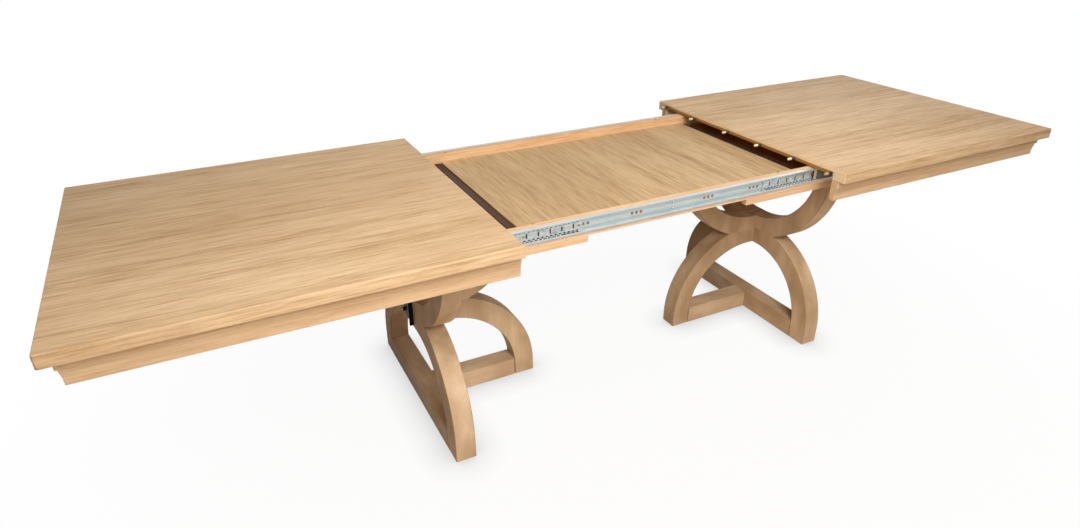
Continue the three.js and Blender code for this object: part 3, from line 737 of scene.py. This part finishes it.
def add_disc(bm, place, outward, width, height, thickness):
    """Adds a flat oval that stands square to Y, from a place outwards."""
    turn = Matrix.Rotation(math.pi / 2, 4, "X")
    size = Matrix.Diagonal((width, thickness, height, 1.0))
    centre = Vector(place) + Vector((0.0, outward * thickness / 2, 0.0))
    sides = bpy.context.scene.table_make.disc_sides
    bmesh.ops.create_cone(
        bm, cap_ends=True, segments=sides, radius1=0.5, radius2=0.5, depth=1.0,
        matrix=Matrix.Translation(centre) @ size @ turn)


class PieceOperator(bpy.types.Operator):
    """What the operators that make pieces share."""

    bl_options = {"REGISTER", "UNDO"}


class TABLE_OT_finishes(PieceOperator):
    """Makes the table's woods and steels"""

    bl_idname = "table.finishes"
    bl_label = "Woods and steels"

    def execute(self, context):
        make_woods()
        make_steels()
        return {"FINISHED"}


class TABLE_OT_tops(PieceOperator):
    """Dresses the two sliding tops"""

    bl_idname = "table.tops"
    bl_label = "Tops"

    def execute(self, context):
        make = context.scene.table_make
        for side in SIDES:
            node = f"{side}_top"
            low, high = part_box(node)
            inner = span_out(node, X_AXIS, AWAY[side])[0]

            def near_bores(edge):
                """The rims of the pins' bores and the thin edge under them stay sharp."""
                inside = all(low.z < vert.co.z < high.z - make.top_arris for vert in edge.verts)
                return inside and on_plane(edge, X_AXIS, inner)

            def inner_edge(face):
                """The edge band that faces the other top."""
                return all(abs(vert.co.x - inner) < make.top_arris / 2 for vert in face.verts)

            # Painted light and painted shade on the inner edge's band
            dress(node, "oak_top", make.top_arris, X_AXIS, spared=near_bores,
                  others=[(finish_of("oak_band", Y_AXIS), inner_edge)])
        return {"FINISHED"}


class TABLE_OT_aprons(PieceOperator):
    """Dresses the aprons under the tops"""

    bl_idname = "table.aprons"
    bl_label = "Aprons"

    def execute(self, context):
        make = context.scene.table_make
        for side in SIDES:
            top_seam = [(Z_AXIS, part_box(f"{side}_end_apron")[1].z)]
            dress(f"{side}_end_apron", "oak_apron", make.wood_arris, Y_AXIS, top_seam)
            for face in FACES:
                node = f"{side}_{face}_apron"
                dress(node, "oak_apron", make.wood_arris, X_AXIS, top_seam)
        return {"FINISHED"}


class TABLE_OT_pins(PieceOperator):
    """Turns the dowel pins in the right top's inner edge"""

    bl_idname = "table.pins"
    bl_label = "Dowel pins"

    nose_share: FloatProperty(
        name="Nose", description="Length of the rounded nose, in radii", default=0.8)
    nose_steps: IntProperty(name="Nose steps", description="Faces along the nose", default=5)

    def execute(self, context):
        pins = sorted(node for node in frame["nodes"] if node.startswith("dowel_pin_"))
        if not pins:
            raise RuntimeError("the frame has no dowel pins")
        # The end pins get painted shade
        ends = (pins[0], pins[-1])
        for node in pins:
            low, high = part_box(node)
            self.turn_pin(context, node, low, high, "pin_dark" if node in ends else "pin_wood")
        return {"FINISHED"}

    def turn_pin(self, context, node, low, high, finish):
        """A pin turned from its outline, with painted shade at its root, where the top's edge
        shades it.
        """
        make = context.scene.table_make
        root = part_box("right_top")[0].x
        shaded = root - make.pin_shade
        centre = (low + high) / 2
        radius = (high.z - low.z) / 2
        nose = radius * self.nose_share
        rings = (high.x, root, shaded, shaded - nose / 2)
        profile = [Vector((high.x, centre.y, centre.z))]
        profile += [Vector((x, centre.y, high.z)) for x in rings]
        for step in range(self.nose_steps + 1):
            turn = step / self.nose_steps * math.pi / 2
            profile.append(Vector((
                low.x + nose * (1 - math.sin(turn)), centre.y,
                centre.z + radius * math.cos(turn))))
        bm = bmesh.new()
        verts = [bm.verts.new(point) for point in profile]
        edges = [bm.edges.new(pair) for pair in zip(verts, verts[1:])]
        bmesh.ops.spin(
            bm, geom=verts + edges, cent=centre, axis=(1, 0, 0), angle=math.tau,
            steps=make.pin_sides, use_merge=True)
        bmesh.ops.remove_doubles(bm, verts=bm.verts[:], dist=WELD)
        bmesh.ops.recalc_face_normals(bm, faces=bm.faces[:])
        # Painted shade over the pin's root, which the top's edge shades
        dirt = bm.verts.layers.float.new("dirt")
        for vert in bm.verts:
            vert[dirt] = float(vert.co.x > shaded - nose / 4)
        finish_piece(
            bm, f"{node}_turned", body_of(node), [finish_of(finish, X_AXIS)],
            next(BOARDS), [node])


class TABLE_OT_rails(PieceOperator):
    """Dresses the fixed frame of rails, battens, ledgers and cross rails"""

    bl_idname = "table.rails"
    bl_label = "Rails"

    def execute(self, context):
        radius = context.scene.table_make.wood_arris
        for face in FACES:
            self.dress_rail(context.scene.table_make, face)
            dress(f"{face}_ledger", "rail_wood", radius, X_AXIS)
            for side in SIDES:
                dress(f"{side}_{face}_batten", "rail_wood", radius, X_AXIS)
        for side in SIDES:
            for place in ("inner_cross", "end"):
                dress(f"{side}_{place}_rail", "rail_wood", radius, Y_AXIS)
            # The outer cross rails take the board's painted shade
            dress(f"{side}_outer_cross_rail", "rail_wood", radius, Y_AXIS, finish="dark_board")
        return {"FINISHED"}

    def dress_rail(self, make, face):
        """A rail, its raw outer face with painted light, painted shade behind the channel's holes,
        and two dark spots.
        """
        node = f"{face}_rail"
        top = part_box(node)[1].z
        outward = AWAY[face]
        inner, outer = span_out(node, Y_AXIS, outward)
        middle = level_of(f"{face}_slide_channel")

        def outer_face(face_of_rail):
            """The rail's face behind the channel."""
            return all(abs(vert.co.y - outer) < ON_PLANE for vert in face_of_rail.verts)

        # Painted light on the raw outer face
        dress(node, "rail_wood", make.wood_arris, X_AXIS,
              others=[(finish_of("raw_pine", X_AXIS), outer_face)])
        # Painted shade on the rail behind each of the channel's holes
        bores = bmesh.new()
        for place in hole_places(make, outer, middle):
            add_disc(bores, place, outward, make.hole_diameter, make.hole_diameter,
                     make.channel_wall / 3)
        add_detail(bores, node, "bores", "bore_wood")
        # Two small dark spots on the rail's inner arris, in the dark tone of the painted shade
        knots = bmesh.new()
        for x in make.spot_places:
            near = inner + outward * make.spot_width
            y = sorted((inner + outward * make.wood_arris / 2, near))
            add_box(knots, (x - make.spot_length / 2, y[0], top - make.spot_rise),
                    (x + make.spot_length / 2, y[1], top + make.spot_rise))
        add_detail(knots, node, "knots", "dried_grease")


class TABLE_OT_leaf(PieceOperator):
    """Dresses the stored leaf and the steel angles that stop it"""

    bl_idname = "table.leaf"
    bl_label = "Leaf"

    def execute(self, context):
        make = context.scene.table_make
        # The left stop takes painted shade
        stops = {"left": "brown_steel", "right": "black_steel"}
        dress("stored_leaf", "leaf_oak", make.top_arris, Y_AXIS)
        for side in SIDES:
            dress(f"{side}_leaf_stop", "black_steel", make.steel_arris, finish=stops[side])
        return {"FINISHED"}


class TABLE_OT_slides(PieceOperator):
    """Dresses the ball-bearing slides, fills their rows of balls and bends the cages' fingers"""

    bl_idname = "table.slides"
    bl_label = "Slides"

    def execute(self, context):
        make = context.scene.table_make
        radius = make.steel_arris
        for face in FACES:
            self.dress_channel(make, face)
            for side in SIDES:
                self.dress_member(make, side, face)
                cage = f"{side}_{face}_ball_cage"
                dress(cage, "zinc_steel", radius, finish="zinc_cage")
                self.fill_cage(make, cage, side, face)
        return {"FINISHED"}

    def dress_channel(self, make, face):
        """A channel, with bright screws ringed in dark at its middle, and painted shade round its
        holes.
        """
        node = f"{face}_slide_channel"
        dress(node, "zinc_steel", make.steel_arris, finish="zinc_channel")
        outward = AWAY[face]
        back = span_out(node, Y_AXIS, outward)[0]
        web = back + outward * make.channel_face
        middle = level_of(node)
        rings, caps, stains = bmesh.new(), bmesh.new(), bmesh.new()
        for sign in (-1, 1):
            level = middle + sign * make.screw_spacing / 2
            # A dark ring round each screw, in the dark tone of the painted shade
            add_disc(rings, (0.0, web, level), outward, make.screw_ring, make.screw_ring,
                     make.film_thickness)
            add_disc(caps, (0.0, back + outward * make.screw_rise, level), outward,
                     make.screw_cap, make.screw_cap, make.film_thickness)
        # Painted shade round each hole, which widens its dark
        for place in hole_places(make, web, middle):
            self.add_hole_shade(make, stains, place, outward)
        add_detail(stains, node, "stains", "bore_wood")
        add_detail(rings, node, "oil", "dried_grease")
        add_detail(caps, node, "caps", "ball_steel")

    def add_hole_shade(self, make, bm, place, outward):
        """A thin ring of painted shade round a hole, open in the middle."""
        turn = Matrix.Rotation(-outward * math.pi / 2, 4, "X")
        centre = Vector(place) + Vector((0.0, outward * make.film_thickness / 2, 0.0))
        bmesh.ops.create_cone(
            bm, cap_ends=False, segments=make.disc_sides, radius1=make.hole_shade_diameter / 2,
            radius2=make.hole_diameter / 2, depth=make.film_thickness,
            matrix=Matrix.Translation(centre) @ turn)

    def dress_member(self, make, side, face):
        """A member, its pale latch, and a dark plug of painted shade in its open end."""
        node = f"{side}_{face}_slide_member"
        outward = AWAY[face]
        end = span_out(node, X_AXIS, AWAY[side])[0]
        outer = span_out(f"{face}_rail", Y_AXIS, outward)[1]

        def latch(part):
            """The face of the latch at the member's inner end."""
            middle = part.calc_center_median()
            near = (middle.x - end) * AWAY[side] < make.tab_length + make.steel_arris
            return near and (middle.y - outer) * outward > make.member_face

        dress(node, "zinc_steel", make.steel_arris, finish="zinc_member",
              others=[(finish_of("latch"), latch)])
        # Painted shade: a dark plug for the shade inside the member's hollow end
        dirt = bmesh.new()
        x = sorted((end, end + AWAY[side] * make.plug_length))
        y = sorted(outer + outward * depth for depth in (make.hollow_depth, make.member_face))
        middle = level_of(f"{face}_slide_channel")
        add_box(dirt, (x[0], y[0], middle - make.hollow_half),
                (x[1], y[1], middle + make.hollow_half))
        add_detail(dirt, node, "dirt", "dried_grease")

    def fill_cage(self, make, cage, side, face):
        """The rows of balls, the fingers between them, and painted shade in the pockets, along the
        flanges and in the windows.
        """
        low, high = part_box(cage)
        outward = AWAY[face]
        back, edge = span_out(cage, Y_AXIS, outward)
        middle = level_of(cage)
        depth = span_out(f"{face}_rail", Y_AXIS, outward)[1] + outward * make.race_depth
        web = back + outward * make.cage_wall
        balls, fingers, grease = bmesh.new(), bmesh.new(), bmesh.new()
        count = int((high.x - low.x - 2 * make.ball_margin) / make.ball_pitch) + 1
        for index in range(count):
            x = low.x + make.ball_margin + index * make.ball_pitch
            between = x + make.ball_pitch / 2
            for sign in (-1, 1):
                level = middle + sign * make.race_rise
                if make.ball_group <= index < count - make.ball_group:
                    bmesh.ops.create_uvsphere(
                        balls, u_segments=make.ball_sides, v_segments=make.ball_bands,
                        radius=make.ball_diameter / 2,
                        matrix=Matrix.Translation((x, depth, level)))
                if index < count - 1:
                    self.bend_finger(make, fingers, between, edge, outward, level, sign)
                # Painted shade in each ball pocket
                place = (x, web, middle + sign * make.pocket_rise)
                add_disc(grease, place, outward, make.pocket_width, make.pocket_height,
                         make.film_thickness)
        # Painted shade along both flanges, behind the balls
        for sign in (-1, 1):
            flange = middle + sign * (make.race_rise - make.cage_wall / 2)
            film = flange - sign * make.film_thickness
            add_box(grease, (low.x + make.ball_margin, min(web, edge), min(flange, film)),
                    (high.x - make.ball_margin, max(web, edge), max(flange, film)))
        self.shade_windows(make, grease, cage, side, face)
        if side == "left":
            # Painted shade: discs that show as holes through a left cage, dark as the shaded wood
            # behind
            peeps = bmesh.new()
            for along in make.peep_places:
                add_disc(peeps, (high.x - along, web, middle), outward, make.hole_diameter,
                         make.hole_diameter, make.film_thickness)
            add_detail(peeps, cage, "peeps", "bore_wood")
        add_detail(balls, cage, "balls", "ball_steel")
        add_detail(fingers, cage, "fingers", "zinc_steel")
        add_detail(grease, cage, "grease", "dried_grease")

    def bend_finger(self, make, bm, x, edge, outward, level, sign):
        """A finger hangs from the cage's flange between two balls."""
        y = sorted((edge, edge - outward * make.finger_thickness))
        z = sorted((level - sign * make.finger_thickness, level - sign * make.finger_reach))
        half = make.finger_width / 2
        add_box(bm, (x - half, y[0], z[0]), (x + half, y[1], z[1]))

    def shade_windows(self, make, bm, cage, side, face):
        """Painted shade: a dark sheet in each of the cage's windows."""
        start, end = span_out(cage, X_AXIS, AWAY[side])
        back = span_out(cage, Y_AXIS, AWAY[face])[0]
        middle = level_of(cage)
        y = sorted((back, back + AWAY[face] * make.film_thickness))
        along = make.window_start
        while along < abs(end - start) - make.window_end:
            x = start + AWAY[side] * along
            add_box(bm, (x - make.window_width / 2, y[0], middle - make.window_height / 2),
                    (x + make.window_width / 2, y[1], middle + make.window_height / 2))
            along += make.window_pitch


class TABLE_OT_pedestals(PieceOperator):
    """Dresses the two pedestals and their brackets"""

    bl_idname = "table.pedestals"
    bl_label = "Pedestals"

    def execute(self, context):
        make = context.scene.table_make
        for side in SIDES:
            inner_face = span_out(f"{side}_front_leg", X_AXIS, AWAY[side])[0]
            for place in ("front", "back", "inner"):
                leg_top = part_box(f"{side}_{place}_leg")[1].z
                middle = (X_AXIS, inner_face) if place == "inner" else (Y_AXIS, 0.0)
                seams = [(Z_AXIS, leg_top), middle]
                for part in ("leg", "arm"):
                    dress(f"{side}_{place}_{part}", "pedestal_oak", make.pedestal_arris,
                          Z_AXIS, seams)
            dress(f"{side}_cross_stretcher", "pedestal_oak", make.wood_arris, Y_AXIS)
            dress(f"{side}_inner_stretcher", "pedestal_oak", make.wood_arris, X_AXIS)
            self.dress_bracket(make, side)
        return {"FINISHED"}

    def dress_bracket(self, make, side):
        """A black bracket with a bare steel bolt."""
        node = f"{side}_waist_bracket"
        low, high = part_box(node)
        inner = span_out(node, X_AXIS, AWAY[side])[0]
        centre = (low.y + high.y) / 2
        dress(node, "black_steel", make.steel_arris, finish="bracket_black")
        bolt = [vert.co for vert in frame["nodes"][node].data.vertices
                if abs(vert.co.x - inner) > make.bracket_plate + ON_PLANE and vert.co.y > centre]
        if not bolt:
            raise RuntimeError(f"{node} has no bolt")
        end = max((point.x for point in bolt), key=lambda x: abs(x - inner))
        outward = 1 if end > inner else -1
        place = [(min(point[i] for point in bolt) + max(point[i] for point in bolt)) / 2
                 for i in range(3)]
        place[X_AXIS] = end + outward * make.film_thickness / 2
        bare = bmesh.new()
        bmesh.ops.create_cone(
            bare, cap_ends=True, segments=make.bolt_sides, radius1=make.bolt_bare / 2,
            radius2=make.bolt_bare / 2, depth=make.film_thickness,
            matrix=Matrix.Translation(place) @ Matrix.Rotation(math.pi / 2, 4, "Y"))
        add_detail(bare, node, "bare", "ball_steel")


class TABLE_OT_studio(PieceOperator):
    """Sets the floor, the lamps and the camera"""

    bl_idname = "table.studio"
    bl_label = "Studio"

    def execute(self, context):
        studio = context.scene.table_studio
        self.lay_floor(context, studio)
        self.light_sky(context, studio)
        for name in ("key", "top", "end", "front"):
            self.hang_lamp(context, studio, name)
        self.stand_camera(context, studio)
        context.scene.view_settings.view_transform = "Standard"
        return {"FINISHED"}

    def lay_floor(self, context, studio):
        """A level floor under the feet."""
        bm = bmesh.new()
        bmesh.ops.create_grid(bm, x_segments=1, y_segments=1, size=studio.floor_reach)
        bmesh.ops.translate(bm, verts=bm.verts[:], vec=(0.0, 0.0, -studio.floor_drop))
        mesh = bpy.data.meshes.new("studio_floor")
        bm.to_mesh(mesh)
        bm.free()
        floor = bpy.data.objects.new("studio_floor", mesh)
        context.scene.collection.objects.link(floor)
        mesh.materials.append(self.white_floor(studio))

    def white_floor(self, studio):
        """White to the eye, with a part of the table's shadow that fades with distance."""
        finish = Finish("studio_white")
        lit = finish.add("ShaderNodeBsdfDiffuse", {"Color": opaque(studio.bounce)})
        near = finish.add(
            "ShaderNodeAmbientOcclusion", {"Distance": studio.contact_reach}).outputs["AO"]
        glow = finish.add("ShaderNodeEmission", {
            "Strength": finish.span(
                near, studio.contact_dark_share, 1.0, studio.contact_shade, 1.0)})
        distance = finish.add(
            "ShaderNodeVectorMath", {0: finish.coordinates()}, operation="LENGTH")
        white = finish.span(
            distance.outputs["Value"], studio.shadow_near, studio.shadow_far,
            1.0 - studio.shadow_share, 1.0)
        kept = finish.calc("MULTIPLY", seen_directly(finish), white)
        shown = finish.add("ShaderNodeMixShader", {
            0: kept, 1: lit.outputs[0], 2: glow.outputs[0]})
        output = finish.nodes["Material Output"]
        finish.links.new(shown.outputs[0], output.inputs["Surface"])
        return finish.material

    def light_sky(self, context, studio):
        """White to the eye, and faint warm light from all round."""
        world = bpy.data.worlds.new("studio_sky")
        context.scene.world = world
        world.use_nodes = True
        sky = NodeKit(world.node_tree)
        background = sky.nodes["Background"]
        seen = seen_directly(sky)
        white = (1.0, 1.0, 1.0)
        sky.feed(background.inputs["Color"], sky.tint(seen, studio.sky_warmth, white))
        strength = sky.span(seen, 0.0, 1.0, studio.sky_strength, 1.0)
        sky.feed(background.inputs["Strength"], strength)

    def hang_lamp(self, context, studio, name):
        """A round lamp that points at the table."""
        lamp = bpy.data.lights.new(f"{name}_lamp", "AREA")
        lamp.shape = "DISK"
        lamp.size = getattr(studio, f"{name}_size")
        lamp.energy = getattr(studio, f"{name}_power")
        holder = bpy.data.objects.new(f"{name}_lamp", lamp)
        place = Vector(getattr(studio, f"{name}_place"))
        turn = (Vector(studio.lamp_target) - place).to_track_quat("-Z", "Y")
        holder.matrix_world = Matrix.Translation(place) @ turn.to_matrix().to_4x4()
        context.scene.collection.objects.link(holder)

    def stand_camera(self, context, studio):
        """The camera, turned as it was for the photograph."""
        camera = bpy.data.cameras.new("studio_camera")
        camera.sensor_fit = "HORIZONTAL"
        camera.sensor_width = studio.sensor_width
        camera.lens = studio.sensor_width * studio.focal_share
        camera.clip_end = studio.floor_reach * SIGHT_SHARE
        holder = bpy.data.objects.new("studio_camera", camera)
        turn = Matrix.Rotation(studio.camera_turn, 4, "Z")
        dip = Matrix.Rotation(math.pi / 2 - studio.camera_dip, 4, "X")
        roll = Matrix.Rotation(studio.camera_roll, 4, "Z")
        holder.matrix_world = Matrix.Translation(studio.camera_place) @ turn @ dip @ roll
        context.scene.collection.objects.link(holder)
        context.scene.camera = holder


STEPS = (
    TABLE_OT_finishes, TABLE_OT_studio, TABLE_OT_tops, TABLE_OT_aprons, TABLE_OT_pins,
    TABLE_OT_rails, TABLE_OT_leaf, TABLE_OT_slides, TABLE_OT_pedestals,
)


class TABLE_PT_panel(bpy.types.Panel):
    """Lists the table's operators in the sidebar"""

    bl_idname = "TABLE_PT_panel"
    bl_label = "Extending trestle table"
    bl_space_type = "VIEW_3D"
    bl_region_type = "UI"
    bl_category = "Table"

    def draw(self, context):
        for step in STEPS:
            self.layout.operator(step.bl_idname)


CLASSES = (TableColours, TableMake, TableStudio, *STEPS, TABLE_PT_panel)


def register():
    for cls in CLASSES:
        bpy.utils.register_class(cls)
    bpy.types.Scene.table_colours = PointerProperty(type=TableColours)
    bpy.types.Scene.table_make = PointerProperty(type=TableMake)
    bpy.types.Scene.table_studio = PointerProperty(type=TableStudio)


def unregister():
    for name in ("table_colours", "table_make", "table_studio"):
        delattr(bpy.types.Scene, name)
    for cls in reversed(CLASSES):
        bpy.utils.unregister_class(cls)


def main():
    register()
    for step in STEPS:
        group, name = step.bl_idname.split(".")
        getattr(getattr(bpy.ops, group), name)()


if __name__ == "__main__":
    main()
